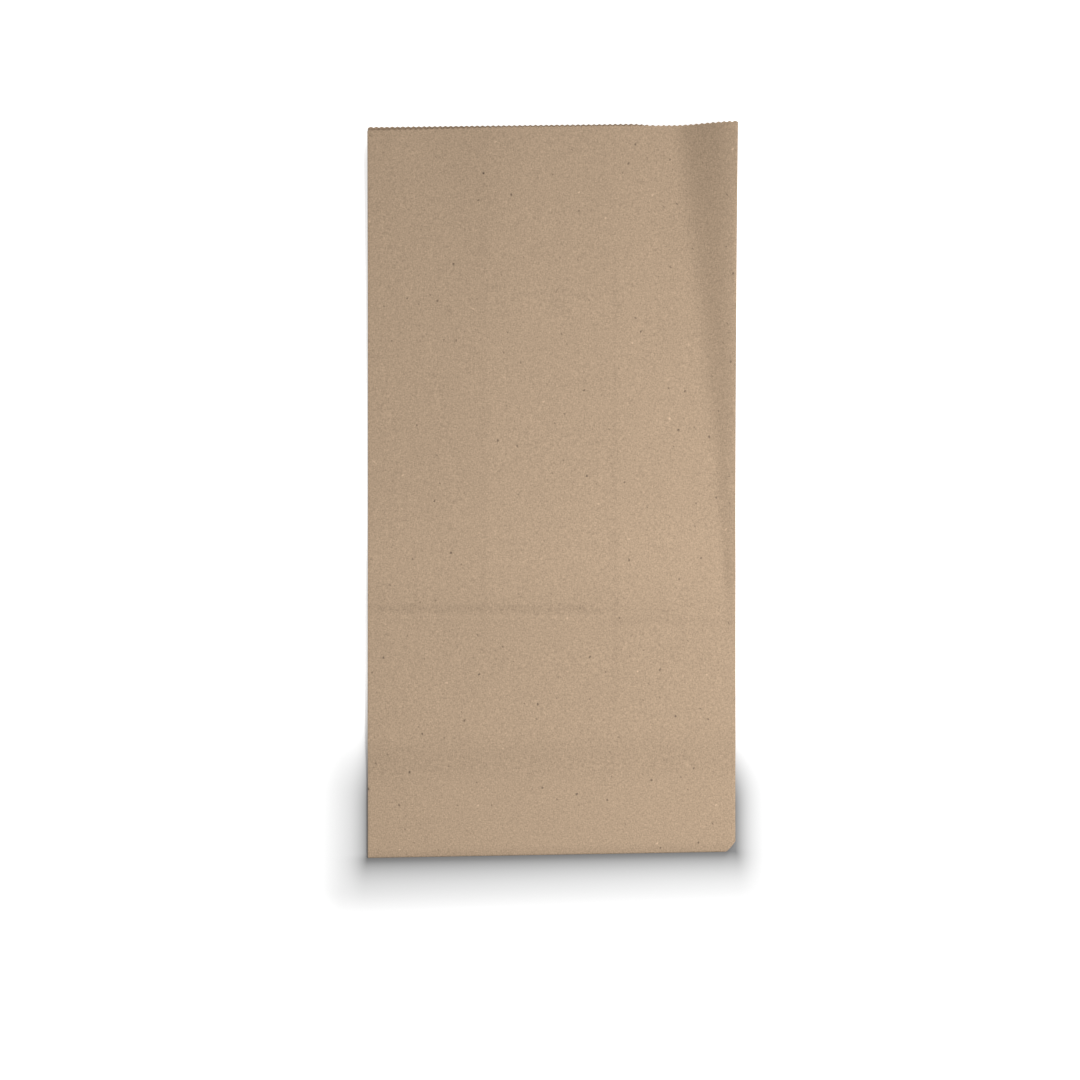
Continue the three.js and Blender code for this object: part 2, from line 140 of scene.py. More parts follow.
@dataclass(frozen=True)
class BagSizes:
    """The bag's driving sizes in millimetres, and the places that follow from them.

    below_teeth is the way from the teeth's roots to the last straight row, ledge how far the
    plies stay level behind the bottom, and nest by how much pasted plies overlap, so that their
    faces never coincide.
    """

    width: float = 155.6
    length: float = 307.6
    depth: float = 102.0
    paper: float = PAPER
    ply_gap: float = 0.10
    paste_lap: float = 20.0
    seam_lap: float = 20.0
    tooth_pitch: float = 2.25
    tooth_depth: float = 0.5
    below_teeth: float = 1.2
    blunt_corner: float = 3.8
    ledge: float = 2.0
    nest: float = 0.01

    @property
    def half(self) -> float:
        """Half the bag's width."""
        return self.width / 2.0

    @property
    def fold(self) -> float:
        """Width of a gusset ply, and height of the part of the front that is turned back."""
        return self.depth / 2.0

    @property
    def inner(self) -> float:
        """Distance of the gussets' inner folds from the middle."""
        return self.half - self.fold

    @property
    def step(self) -> float:
        """Height from one ply's middle to the next."""
        return self.paper + self.ply_gap

    @property
    def bend(self) -> float:
        """Radius of a side fold, to the middle of the paper."""
        return self.step / 2.0

    @property
    def edge(self) -> float:
        """Distance from the middle at which the side folds' bends start."""
        return self.half - self.bend

    @property
    def slant(self) -> float:
        """A fold's radius measured across the bag, for a fold at 45 degrees."""
        return self.bend * math.sqrt(2.0)

    @property
    def flap(self) -> float:
        """How far the bottom's flaps and ears reach."""
        return self.fold + self.paste_lap / 2.0

    @property
    def nested(self) -> float:
        """Half the thickness of a tongue that lies hidden inside another ply."""
        return self.paper / 2.0 - self.nest

    def level(self, ply: float) -> float:
        """Height of a ply of the bottom: 0.5 is the outer flap's middle and 3.5 the ears'."""
        return ply * self.paper

    @property
    def tuck_level(self) -> float:
        """Height of the bottom's tucked-in sides."""
        return self.level(3.5) + self.step

    @property
    def turned_front(self) -> float:
        """Height of the part of the front panel that lies reversed."""
        return self.tuck_level + 2.0 * self.step

    @property
    def front(self) -> float:
        """Height of the front panel on top of the bottom."""
        return self.turned_front + self.step

    @property
    def pivot(self) -> float:
        """Place of the line about which the front panel turns back on itself."""
        return self.fold + 2.0 * self.step

    @property
    def last_row(self) -> float:
        """Last straight row before the teeth."""
        return self.length - self.tooth_depth - self.below_teeth

    @property
    def back_hem(self) -> float:
        """Radius of the bottom's near fold."""
        return (self.turned_front - self.level(0.5)) / 2.0

    @property
    def front_hem(self) -> float:
        """Radius of the bottom's far fold."""
        return (self.turned_front - self.level(1.5)) / 2.0


@dataclass(frozen=True)
class RestingShape:
    """How the folded bag lies: what springs up, slips and runs askew, in millimetres.

    middle_from, middle_run, crease, lip_from and lip_run are shares of half the width. curl_rows
    and curl_end say where the curl starts and ends, and over what length it comes and goes.
    Each wave form is a length across and along for one radian, a phase and a strength. at_rest is
    how far the back panel still lies before it springs up, and lip_loss the share of the front's
    slip that is lost at the right.
    """

    sizes: BagSizes = field(default_factory=BagSizes)
    left_lift: float = 2.5
    middle_lift: float = 4.0
    corner_lift: float = 13.0
    middle_from: float = 0.70
    middle_run: float = 0.58
    crease: float = 0.92
    crease_slant: float = 0.27
    edge_curl: float = 1.4
    curl_width: float = 5.5
    curl_widening: float = 0.085
    widening_from: float = 16.0
    curl_rows: tuple[float, float] = (96.0, 30.0)
    curl_end: tuple[float, float] = (8.0, 90.0)
    waves: float = 0.03
    wave_forms: tuple[tuple[float, ...], ...] = (
        (17.0, 61.0, 0.6, 1.0),
        (29.0, -33.0, 2.1, 0.8),
        (11.0, 90.0, 4.0, 0.6),
    )
    wave_fade: tuple[float, float] = (12.0, 14.0)
    dome: float = 2.2
    dome_rise: float = 95.0
    front_lip: float = 1.9
    lip_loss: float = 0.7
    lip_from: float = 0.42
    lip_run: float = 0.25
    bottom_skew: float = 0.0172
    mouth_skew: float = 0.012
    climb: float = 20.0
    descent: float = 15.0
    back_descent: float = 46.0
    at_rest: float = 3.0

    @property
    def lift_start(self) -> float:
        """Where the back panel starts to spring up."""
        return self.sizes.depth + self.descent + self.at_rest

    def lift(self, x: np.ndarray, y: np.ndarray) -> np.ndarray:
        """How far the mouth springs up.

        Its profile is a low left edge, a broad middle and a bent-up right corner, joined by
        smooth steps, and it dies out with the square of the distance to the mouth. The bent
        part narrows away from the mouth.

        Args:
            x: Places across the bag.
            y: Places along the bag.

        Returns:
            The lift in millimetres.
        """
        across = x / self.sizes.half
        run = self.sizes.length - self.lift_start
        along = np.clip((y - self.lift_start) / run, 0.0, None)
        middle = smooth((across + self.middle_from) / self.middle_run)
        left = self.left_lift + (self.middle_lift - self.left_lift) * middle
        crease = self.crease - self.crease_slant * along
        bent = smooth((across - crease) / (1.0 - crease))
        return (left + (self.corner_lift - self.middle_lift) * bent) * along * along

    def held_up(self, x: np.ndarray, y: np.ndarray) -> np.ndarray:
        """How far the closed gussets hold the plies above them up, most at their inner folds."""
        inward = np.clip((self.sizes.half - np.abs(x)) / self.sizes.fold, 0.0, 1.0)
        return self.dome * inward * smooth((y - self.sizes.pivot) / self.dome_rise)

    def front_level(self, y: np.ndarray) -> np.ndarray:
        """Height of the front panel, which comes down to the floor behind the bottom."""
        return self.coming_down(y, self.descent)

    def coming_down(self, y: np.ndarray, run: float) -> np.ndarray:
        """Height of paper on top of the bottom, which comes down to the floor over a run."""
        down = smooth((y - self.sizes.depth - self.sizes.ledge) / run)
        return self.sizes.front + (self.sizes.paper / 2.0 - self.sizes.front) * down

    def back_level(self, y: np.ndarray) -> np.ndarray:
        """Height of the back panel where it is pressed on the other plies.

        Args:
            y: Places along the bag.

        Returns:
            The heights of the paper's middle.
        """
        s = self.sizes
        up = smooth((y - s.fold + self.climb) / (self.climb - 2.0 * s.bend))
        near = s.turned_front + 4.0 * s.step * up
        above = self.coming_down(y, self.back_descent) + 3.0 * s.step
        return np.where(y < s.pivot, near, above)

    def curl(self, x: np.ndarray, y: np.ndarray) -> np.ndarray:
        """How far the back panel curls up along its right edge, below the bent-up corner.

        The curled strip widens towards the mouth and hands over to the corner there.

        Args:
            x: Places across the bag.
            y: Places along the bag.

        Returns:
            The height that the curl adds.
        """
        s = self.sizes
        (start, rise), (end, fall) = self.curl_rows, self.curl_end
        past = np.clip(y - s.depth - self.widening_from, 0.0, None)
        width = self.curl_width + self.curl_widening * past
        across = smooth((x - s.half + width) / width)
        along = smooth((y - start) / rise) * smooth((s.length - end - y) / fall)
        return self.edge_curl * across * along

    def relief(self, x: np.ndarray, y: np.ndarray) -> np.ndarray:
        """Soft waves of the back panel, raised only, so that no ply below is touched.

        A few long plane waves of different directions are added up and squared.

        Args:
            x: Places across the bag.
            y: Places along the bag.

        Returns:
            The height that the waves add.
        """
        waves = 0.0
        for across, along, phase, strength in self.wave_forms:
            waves = waves + strength * np.sin(x / across + y / along + phase)
        sides, bottom = self.wave_fade
        edges = smooth((self.sizes.half - np.abs(x)) / sides) * smooth(y / bottom)
        return self.waves * waves * waves * edges

    def back_height(self, x: np.ndarray, y: np.ndarray) -> np.ndarray:
        """Height of the middle of the back panel's paper at places across and along the bag."""
        raised = self.relief(x, y) + self.curl(x, y)
        return self.back_level(y) + self.held_up(x, y) + raised + self.lift(x, y)

    def upper_gusset(self, x: np.ndarray, y: np.ndarray) -> np.ndarray:
        """Height of the gusset ply next to the back panel, sprung up at the side fold only."""
        outward = smooth((np.abs(x) - self.sizes.inner) / self.sizes.fold)
        raised = self.held_up(x, y) + self.lift(x, y) * outward
        return self.back_level(y) - self.sizes.step + raised

    def lower_gusset(self, x: np.ndarray, y: np.ndarray) -> np.ndarray:
        """Height of the gusset ply next to the front panel, at places across and along."""
        return self.front_level(y) + self.sizes.step + self.held_up(x, y)

    def settled(self, places: np.ndarray, turn: np.ndarray) -> np.ndarray:
        """Move places of the evenly folded bag to where the skew and slipped folds leave them.

        Args:
            places: Places in millimetres, an array of triples.
            turn: 0 on the back panel and 1 on the front panel, for each place.

        Returns:
            The moved places.
        """
        s = self.sizes
        x, y, z = places[..., 0], places[..., 1], places[..., 2]
        beyond = np.maximum(0.0, (x - s.half + s.blunt_corner - y) / 2.0)
        x, y = x - beyond, y + beyond
        lost = self.lip_loss * smooth((x / s.half - self.lip_from) / self.lip_run)
        lip = self.front_lip * (1.0 - lost)
        slip = lip * turn * smooth((y - s.depth) / (s.length - s.depth))
        along = np.clip(y / s.length, 0.0, 1.0)
        skew = self.bottom_skew + (self.mouth_skew - self.bottom_skew) * along
        return np.stack([x, y + slip + skew * x, z], axis=-1)


class Sheet:
    """A sheet of paper as grids of points, turned into a closed solid by thickening it."""

    def __init__(self) -> None:
        """Start with no points."""
        self.parts: list[Points] = []
        self.count = 0
        self.quads: list[np.ndarray] = []

    def add(self, points: Points) -> np.ndarray:
        """Take points into the sheet.

        Args:
            points: A grid of points, rows first.

        Returns:
            Their numbers, in the grid's shape.
        """
        shape = points.turn.shape
        numbers = np.arange(self.count, self.count + points.turn.size).reshape(shape)
        at, normal = points.at.reshape(-1, 3), points.normal.reshape(-1, 3)
        self.parts.append(Points(at, normal, points.turn.ravel(), points.half.ravel()))
        self.count += points.turn.size
        return numbers

    def join(self, numbers: np.ndarray) -> None:
        """Span quads over a grid of point numbers, with rows from the bottom to the mouth."""
        quads = np.stack(
            [numbers[:-1, :-1], numbers[:-1, 1:], numbers[1:, 1:], numbers[1:, :-1]], axis=-1
        )
        self.quads.append(quads.reshape(-1, 4))

    def solid(self, shape: RestingShape) -> tuple[np.ndarray, np.ndarray]:
        """Offset both faces by half the thickness and wall up every open edge.

        Args:
            shape: Settles the places.

        Returns:
            The vertices and the quads.
        """
        flat = Points.joined(self.parts, axis=0)
        offset = flat.normal * flat.half[:, None]
        outer = shape.settled(flat.at + offset, flat.turn)
        inner = shape.settled(flat.at - offset, flat.turn)
        quads = np.concatenate(self.quads)
        starts = quads.ravel()
        ends = np.roll(quads, -1, axis=1).ravel()
        forward = starts * self.count + ends
        backward = ends * self.count + starts
        rim = ~np.isin(forward, backward)
        a, b = starts[rim], ends[rim]
        walls = np.stack([b, a, a + self.count, b + self.count], axis=-1)
        faces = [quads, quads[:, ::-1] + self.count, walls]
        return np.concatenate([outer, inner]), np.concatenate(faces)


@dataclass(frozen=True)
class Hem:
    """One of the bottom's long folds.

    level is the height of its flap's middle, and direction 1 for the near fold and -1 for the
    far one.
    """

    radius: float
    level: float
    direction: float


@dataclass
class FoldedTube:
    """The bag's tube: back, front and gussets, with the bends at the bottom's long folds.

    The spans are numbers of steps between rows, row_gap is the way between two runs of rows,
    margin the least width of a panel's outermost column, and tongue how far a fold reaches into
    the paste.
    """

    shape: RestingShape
    bend_angles: tuple[float, ...] = (60.0, 30.0, 0.0, -30.0, -60.0)
    swing: tuple[float, ...] = (150.0, 120.0, 90.0, 60.0, 30.0)
    low_spans: int = 8
    climb_spans: int = 8
    turned_spans: int = 5
    flat_spans: int = 7
    descent_spans: int = 10
    mouth_spans: int = 38
    row_gap: float = 1.0
    margin: float = 0.1
    tongue: float = 0.6

    @property
    def sizes(self) -> BagSizes:
        """The bag's sizes."""
        return self.shape.sizes

    def panel_columns(self) -> np.ndarray:
        """Places of a panel's columns: one at every tip and root of the cut edge's teeth.

        Returns:
            The places from left to right.
        """
        s = self.sizes
        pitch = s.tooth_pitch / 2.0
        reach = int((s.edge - self.margin) / pitch)
        return np.concatenate([[-s.edge], np.arange(-reach, reach + 1) * pitch, [s.edge]])

    def gusset_shares(self) -> np.ndarray:
        """Columns of a gusset ply, as shares of its width from the side fold inwards.

        Returns:
            Numbers from 0 to 1.
        """
        s = self.sizes
        full = s.edge - s.inner - s.bend
        columns = self.panel_columns()
        inside = columns[(columns > s.inner + s.bend + self.margin) & (columns < s.edge)]
        places = np.concatenate([[s.edge], inside[::-1], [s.inner + s.bend]])
        return (s.edge - places) / full

    def bend_points(
        self,
        centre: float,
        y: np.ndarray,
        high: Numbers,
        low: Numbers,
        side: Side,
        bulge: Bulge,
        down: bool,
        turn: float,
    ) -> Points:
        """A half-round bend between two plies at one side of the bag.

        Args:
            centre: Place across the bag of the bend's centre.
            y: Places of the rows, a column array.
            high: Heights of the upper ply.
            low: Heights of the lower ply.
            side: The side of the bag.
            bulge: Which way the bend bulges.
            down: Whether the columns run from the upper ply to the lower.
            turn: How far round the gusset the bend lies.

        Returns:
            The points, one column for each angle of the bend.
        """
        degrees = np.array(self.bend_angles if down else self.bend_angles[::-1])
        angle = np.radians(degrees)[None, :]
        middle, radius = (high + low) / 2.0, (high - low) / 2.0
        reach = np.cos(angle) * side.value
        x = centre + self.sizes.bend * reach * bulge.value
        normal = (reach, 0.0, np.sin(angle) * bulge.value)
        return Points.of(x, y, middle + radius * np.sin(angle), normal, turn)

    def gusset(
        self, y: np.ndarray, inner_end: Numbers, side: Side, inwards: bool, upper: bool
    ) -> Points:
        """One gusset ply at one side.

        Args:
            y: Places of the rows, a column array.
            inner_end: How far from the middle the ply ends in each row.
            side: The side of the bag.
            inwards: Whether the columns run towards the middle.
            upper: Whether it is the ply next to the back panel.

        Returns:
            The points.
        """
        s = self.sizes
        shares = self.gusset_shares()[None, :]
        shares = shares if inwards else shares[:, ::-1]
        x = s.edge - shares * (s.edge - inner_end)
        part = 0.5 * (s.half - x) / s.fold
        if upper:
            z = self.shape.upper_gusset(side.value * x, y)
            return Points.of(side.value * x, y, z, DOWN, part)
        z = self.shape.lower_gusset(side.value * x, y)
        return Points.of(side.value * x, y, z, UP, 1.0 - part)

    def back_rows(self, y: np.ndarray, inner_end: Numbers) -> Points:
        """The back panel with a gusset ply folded under it at each side.

        Args:
            y: Places of the rows, a column array.
            inner_end: How far from the middle the gusset plies end in each row.

        Returns:
            The points, columns from the left gusset's inner end round to the right one's.
        """
        s = self.sizes
        pieces = []
        for side in (Side.LEFT, Side.RIGHT):
            at_edge = side.value * s.half
            high = self.shape.back_height(at_edge, y)
            low = self.shape.upper_gusset(at_edge, y)
            right = side is Side.RIGHT
            bend = self.bend_points(
                side.value * s.edge, y, high, low, side, Bulge.OUTWARD, right, 0.0
            )
            ply = self.gusset(y, inner_end, side, right, True)
            pieces.extend([bend, ply] if right else [ply, bend])
        x = self.panel_columns()[None, :]
        panel = Points.of(x, y, self.shape.back_height(x, y), UP, 0.0)
        return Points.joined([pieces[0], pieces[1], panel, pieces[2], pieces[3]])

    def front_rows(self, y: np.ndarray, inner_end: Numbers) -> Points:
        """The front panel with a gusset ply folded over it at each side.

        Args:
            y: Places of the rows, a column array.
            inner_end: How far from the middle the gusset plies end in each row.

        Returns:
            The points, columns from the right gusset's inner end round to the left one's.
        """
        s = self.sizes
        level = self.shape.front_level(y)
        x = self.panel_columns()[None, ::-1]
        out = Bulge.OUTWARD
        return Points.joined(
            [
                self.gusset(y, inner_end, Side.RIGHT, False, False),
                self.bend_points(s.edge, y, level + s.step, level, Side.RIGHT, out, True, 1.0),
                Points.of(x, y, level, DOWN, 1.0),
                self.bend_points(-s.edge, y, level + s.step, level, Side.LEFT, out, False, 1.0),
                self.gusset(y, inner_end, Side.LEFT, True, False),
            ]
        )

    def inner_bend(self, y: np.ndarray, side: Side) -> Points:
        """The inner fold of one gusset.

        Args:
            y: Places of the rows, a column array.
            side: The side of the bag.

        Returns:
            The points.
        """
        s = self.sizes
        high = self.shape.upper_gusset(side.value * s.inner, y)
        low = self.shape.lower_gusset(side.value * s.inner, y)
        centre = side.value * (s.inner + s.bend)
        return self.bend_points(
            centre, y, high, low, side, Bulge.INWARD, side is Side.RIGHT, 0.5
        )

    def loop_rows(self, y: np.ndarray) -> Points:
        """Closed rows round the tube above the pivot line; the first column isn't repeated."""
        inner_end = self.sizes.inner + self.sizes.bend
        return Points.joined(
            [
                self.back_rows(y, inner_end),
                self.inner_bend(y, Side.RIGHT),
                self.front_rows(y, inner_end),
                self.inner_bend(y, Side.LEFT),
            ]
        )

    def turned_back(self, points: Points, degrees: np.ndarray) -> Points:
        """Turn one row of the front panel about the pivot line.

        Args:
            points: A single row.
            degrees: 0 leaves the row, 180 turns it under; one number for each new row.

        Returns:
            One row for each angle.
        """
        s = self.sizes
        centre = (s.turned_front + s.front) / 2.0
        angle = np.radians(degrees)[:, None]
        arm = points.at[..., 2] - centre
        y = s.pivot - arm * np.sin(angle)
        z = centre + arm * np.cos(angle)
        up = points.normal[..., 2]
        normal = (points.normal[..., 0], -up * np.sin(angle), up * np.cos(angle))
        return Points.of(points.at[..., 0], y, z, normal, points.turn, points.half)

    def turned_rows(self, y: np.ndarray) -> Points:
        """The part of the front panel that lies reversed under the rest.

        Args:
            y: Places of the rows, a column array.

        Returns:
            The points.
        """
        s = self.sizes
        inner_end = s.half - (s.depth - y) + s.slant
        level_rows = self.front_rows(np.full_like(y, s.pivot), inner_end)
        centre = (s.turned_front + s.front) / 2.0
        at, normal = level_rows.at.copy(), level_rows.normal.copy()
        at[..., 1] = y
        at[..., 2] = 2.0 * centre - at[..., 2]
        normal[..., 2] *= -1.0
        return Points(at, normal, level_rows.turn, level_rows.half)

    def hem_rows(self, row: Points, hem: Hem) -> Points:
        """Rows that carry a panel round the bottom's fold into the paste between the flaps.

        Args:
            row: The panel's first row, without its side bends.
            hem: The fold.

        Returns:
            The rows, from the tongue's end to the last one before the panel.
        """
        x, start = row.at[..., 0], row.at[..., 1]
        inset = np.array([[self.tongue], [0.0]])
        end = start + inset * hem.direction
        tongue = Points.of(x, end, hem.level, DOWN, row.turn, self.sizes.nested)
        angle = np.radians(np.array(self.bend_angles[::-1]))[:, None]
        y = start - hem.radius * np.cos(angle) * hem.direction
        z = hem.level + hem.radius + hem.radius * np.sin(angle)
        normal = (0.0, -np.cos(angle) * hem.direction, np.sin(angle))
        return Points.joined([tongue, Points.of(x, y, z, normal, row.turn)], axis=0)

    def add_hem(self, sheet: Sheet, numbers: np.ndarray, first: Points, hem: Hem) -> None:
        """Add the bend at one of the bottom's long folds.

        Args:
            sheet: The sheet.
            numbers: Point numbers of the panel's first row.
            first: The points of that row.
            hem: The fold.
        """
        skip = len(self.gusset_shares()) + len(self.bend_angles)
        flat = slice(skip, numbers.size - skip)
        bend = sheet.add(self.hem_rows(first.pick(np.s_[:, flat]), hem))
        sheet.join(np.concatenate([bend, numbers[None, flat]]))

    def cut_edge(self, x: np.ndarray) -> np.ndarray:
        """Where the knife's teeth put the mouth's edge, between the roots and the tips."""
        phase = np.abs(x) / self.sizes.tooth_pitch
        return self.sizes.length - self.sizes.tooth_depth * np.abs(2.0 * (phase - np.round(phase)))

    def mouth_row(self) -> Points:
        """The toothed edge, between the last straight row and the tips' line.

        Returns:
            One row of points.
        """
        s = self.sizes
        last = self.loop_rows(np.array([[s.last_row]]))
        tips = self.loop_rows(np.array([[s.length]]))
        share = (self.cut_edge(last.at[..., 0]) - s.last_row) / (s.length - s.last_row)
        return last.mixed(tips, share)

    def high_places(self) -> np.ndarray:
        """Rows from the pivot line to the teeth, closer together where the paper bends.

        Returns:
            A column array of places.
        """
        s, shape = self.sizes, self.shape
        level = s.depth + s.ledge
        flat = np.linspace(s.pivot, level - self.row_gap, self.flat_spans + 1)
        down = np.linspace(level, level + shape.descent, self.descent_spans + 1)
        rise = np.linspace(shape.lift_start + self.row_gap, s.last_row, self.mouth_spans + 1)
        return np.concatenate([flat, down, rise])[:, None]

    def low_places(self) -> np.ndarray:
        """Rows below the pivot line.

        Returns:
            A column array of places.
        """
        s, shape = self.sizes, self.shape
        first = np.linspace(s.back_hem, s.fold - shape.climb, self.low_spans + 1)
        climb = np.linspace(s.fold - shape.climb, s.fold - 2.0 * s.bend, self.climb_spans + 1)
        return np.concatenate([first, climb[1:]])[:, None]

    def build(self) -> Sheet:
        """Join the tube's grids into one sheet.

        Returns:
            The sheet.
        """
        s = self.sizes
        sheet = Sheet()
        high = sheet.add(self.loop_rows(self.high_places()))
        low_y = self.low_places()
        low_points = self.back_rows(low_y, s.half - low_y + s.slant)
        low = sheet.add(low_points)
        far_end = s.depth - s.front_hem
        turned_y = np.linspace(far_end, s.pivot, self.turned_spans + 1)[:, None]
        turned_points = self.turned_rows(turned_y)
        turned = sheet.add(turned_points)
        pivot_row = self.front_rows(np.array([[s.pivot]]), s.inner + s.bend)
        swing = sheet.add(self.turned_back(pivot_row, np.array(self.swing)))
        mouth = sheet.add(self.mouth_row())
        loops = np.concatenate([high, mouth])
        sheet.join(np.concatenate([loops, loops[:, :1]], axis=1))
        back = low.shape[1]
        front_start = back + len(self.bend_angles)
        front = slice(front_start, front_start + swing.shape[1])
        sheet.join(np.concatenate([low, high[:1, :back]]))
        sheet.join(np.concatenate([turned, swing, high[:1, front]]))
        near, far = Hem(s.back_hem, s.level(0.5), 1.0), Hem(s.front_hem, s.level(1.5), -1.0)
        self.add_hem(sheet, low[0], low_points.pick(np.s_[:1]), near)
        self.add_hem(sheet, turned[0], turned_points.pick(np.s_[:1]), far)
        log.info("tube: %d points in %d rows and %d columns", sheet.count, *high.shape)
        return sheet


@dataclass
class TuckedSide:
    """One tucked-in side of the bottom: a triangle between two slanting folds and an ear.

    tongue is how far a slanting fold reaches into the gusset ply above, and inset how far the
    side stays clear of the long folds.
    """

    tube: FoldedTube
    side: Side
    tongue: float = PAPER
    inset: float = 0.07
    spans: int = 5
    far_spans: int = 7

    def flat_rows(self, y: np.ndarray) -> Points:
        """The tongue in the ear, the bend at the side and the flat triangle.

        Args:
            y: Places of the rows, a column array.

        Returns:
            The points of the right side.
        """
        s = self.tube.sizes
        ear = s.level(3.5)
        width = np.minimum(y, s.depth - y)
        centre = s.half - width + s.slant
        tongue_x = np.array([[s.edge - self.tube.tongue, s.edge]])
        flat_x = s.edge + (centre - s.edge) * np.linspace(0.0, 1.0, self.spans + 1)[None, :]
        return Points.joined(
            [
                Points.of(tongue_x, y, ear, DOWN, 0.0, s.nested),
                self.tube.bend_points(
                    s.edge, y, s.tuck_level, ear, Side.RIGHT, Bulge.OUTWARD, False, 0.0
                ),
                Points.of(flat_x, y, s.tuck_level, UP, 0.0),
            ]
        )

    def slanted_rows(self, y: np.ndarray) -> Points:
        """The slanting fold and its tongue in the gusset ply above.

        Args:
            y: Places of the rows, a column array.

        Returns:
            The points of the right side.
        """
        s, shape = self.tube.sizes, self.tube.shape
        near = y < s.fold
        above = np.where(near, shape.back_level(y) - s.step, s.tuck_level + s.step)
        middle, radius = (s.tuck_level + above) / 2.0, (above - s.tuck_level) / 2.0
        centre = s.half - np.minimum(y, s.depth - y) + s.slant
        angle = np.radians(np.array([self.tube.bend_angles[::-1]]))
        away = np.cos(angle) * math.sqrt(0.5)
        lean = np.where(near, 1.0, -1.0)
        z = middle + radius * np.sin(angle)
        bend = Points.of(
            centre - s.slant * np.cos(angle), y, z, (away, away * lean, -np.sin(angle))
        )
        ends = centre + np.array([[0.0, self.tongue]])
        return Points.joined([bend, Points.of(ends, y, above, DOWN, 0.0, s.nested)])

    def build(self) -> Sheet:
        """Join the triangle and its two slanting folds.

        Returns:
            The sheet.
        """
        s = self.tube.sizes
        near = self.tube.low_places()[:-1, 0].copy()
        near[0] += self.inset
        far_end = s.depth - s.front_hem - self.inset
        far = np.linspace(far_end, s.fold + s.ledge, self.far_spans + 1)
        order = np.concatenate([far, [s.fold], near[::-1]])[:, None]
        flat = self.flat_rows(order)
        slanted = self.slanted_rows(order)
        if self.side is Side.LEFT:
            for points in (flat, slanted):
                points.at[..., 0] *= -1.0
                points.normal[..., 0] *= -1.0
        sheet = Sheet()
        flat_numbers = sheet.add(flat)
        fold_numbers = np.concatenate([flat_numbers[:, -1:], sheet.add(slanted)], axis=1)
        grids = [flat_numbers, fold_numbers[: far.size], fold_numbers[far.size + 1 :]]
        for grid in grids:
            sheet.join(grid if self.side is Side.RIGHT else grid[:, ::-1])
        log.info("tuck on the %s: %d points", self.side.name.lower(), sheet.count)
        return sheet


@dataclass
class PastedSeam:
    """The seam that closes the sheet into a tube: a second ply inside the front panel.

    offset moves it towards the right, and below_edge is how far it ends before the cut edge.
    """

    tube: FoldedTube
    offset: float = 1.0
    below_edge: float = 0.6

    def build(self) -> Sheet:
        """Lay the seam's lap along the inside of the front panel.

        Returns:
            The sheet.
        """
        s = self.tube.sizes
        middle = self.offset - s.inner / 2.0
        x = np.linspace(middle + s.seam_lap / 2.0, middle - s.seam_lap / 2.0, 3)[None, :]
        places = self.tube.high_places()
        places[-1] = s.last_row - self.below_edge
        level = self.tube.shape.front_level(places)
        flat = Points.of(x, places, level, DOWN, 1.0)
        pivot = Points.of(x, s.pivot, s.front, DOWN, 1.0)
        swung = self.tube.turned_back(pivot, np.array([180.0, *self.tube.swing]))
        start = swung.pick(np.s_[:1])
        start = Points(start.at.copy(), start.normal, start.turn, start.half)
        start.at[..., 1] = s.depth - s.ledge
        sheet = Sheet()
        rows = []
        for piece in (start, swung, flat):
            inside = piece.at + piece.normal * (s.nest - s.paper)
            rows.append(sheet.add(Points(inside, piece.normal, piece.turn, piece.half)))
        sheet.join(np.concatenate(rows))
        log.info("seam: %d points", sheet.count)
        return sheet


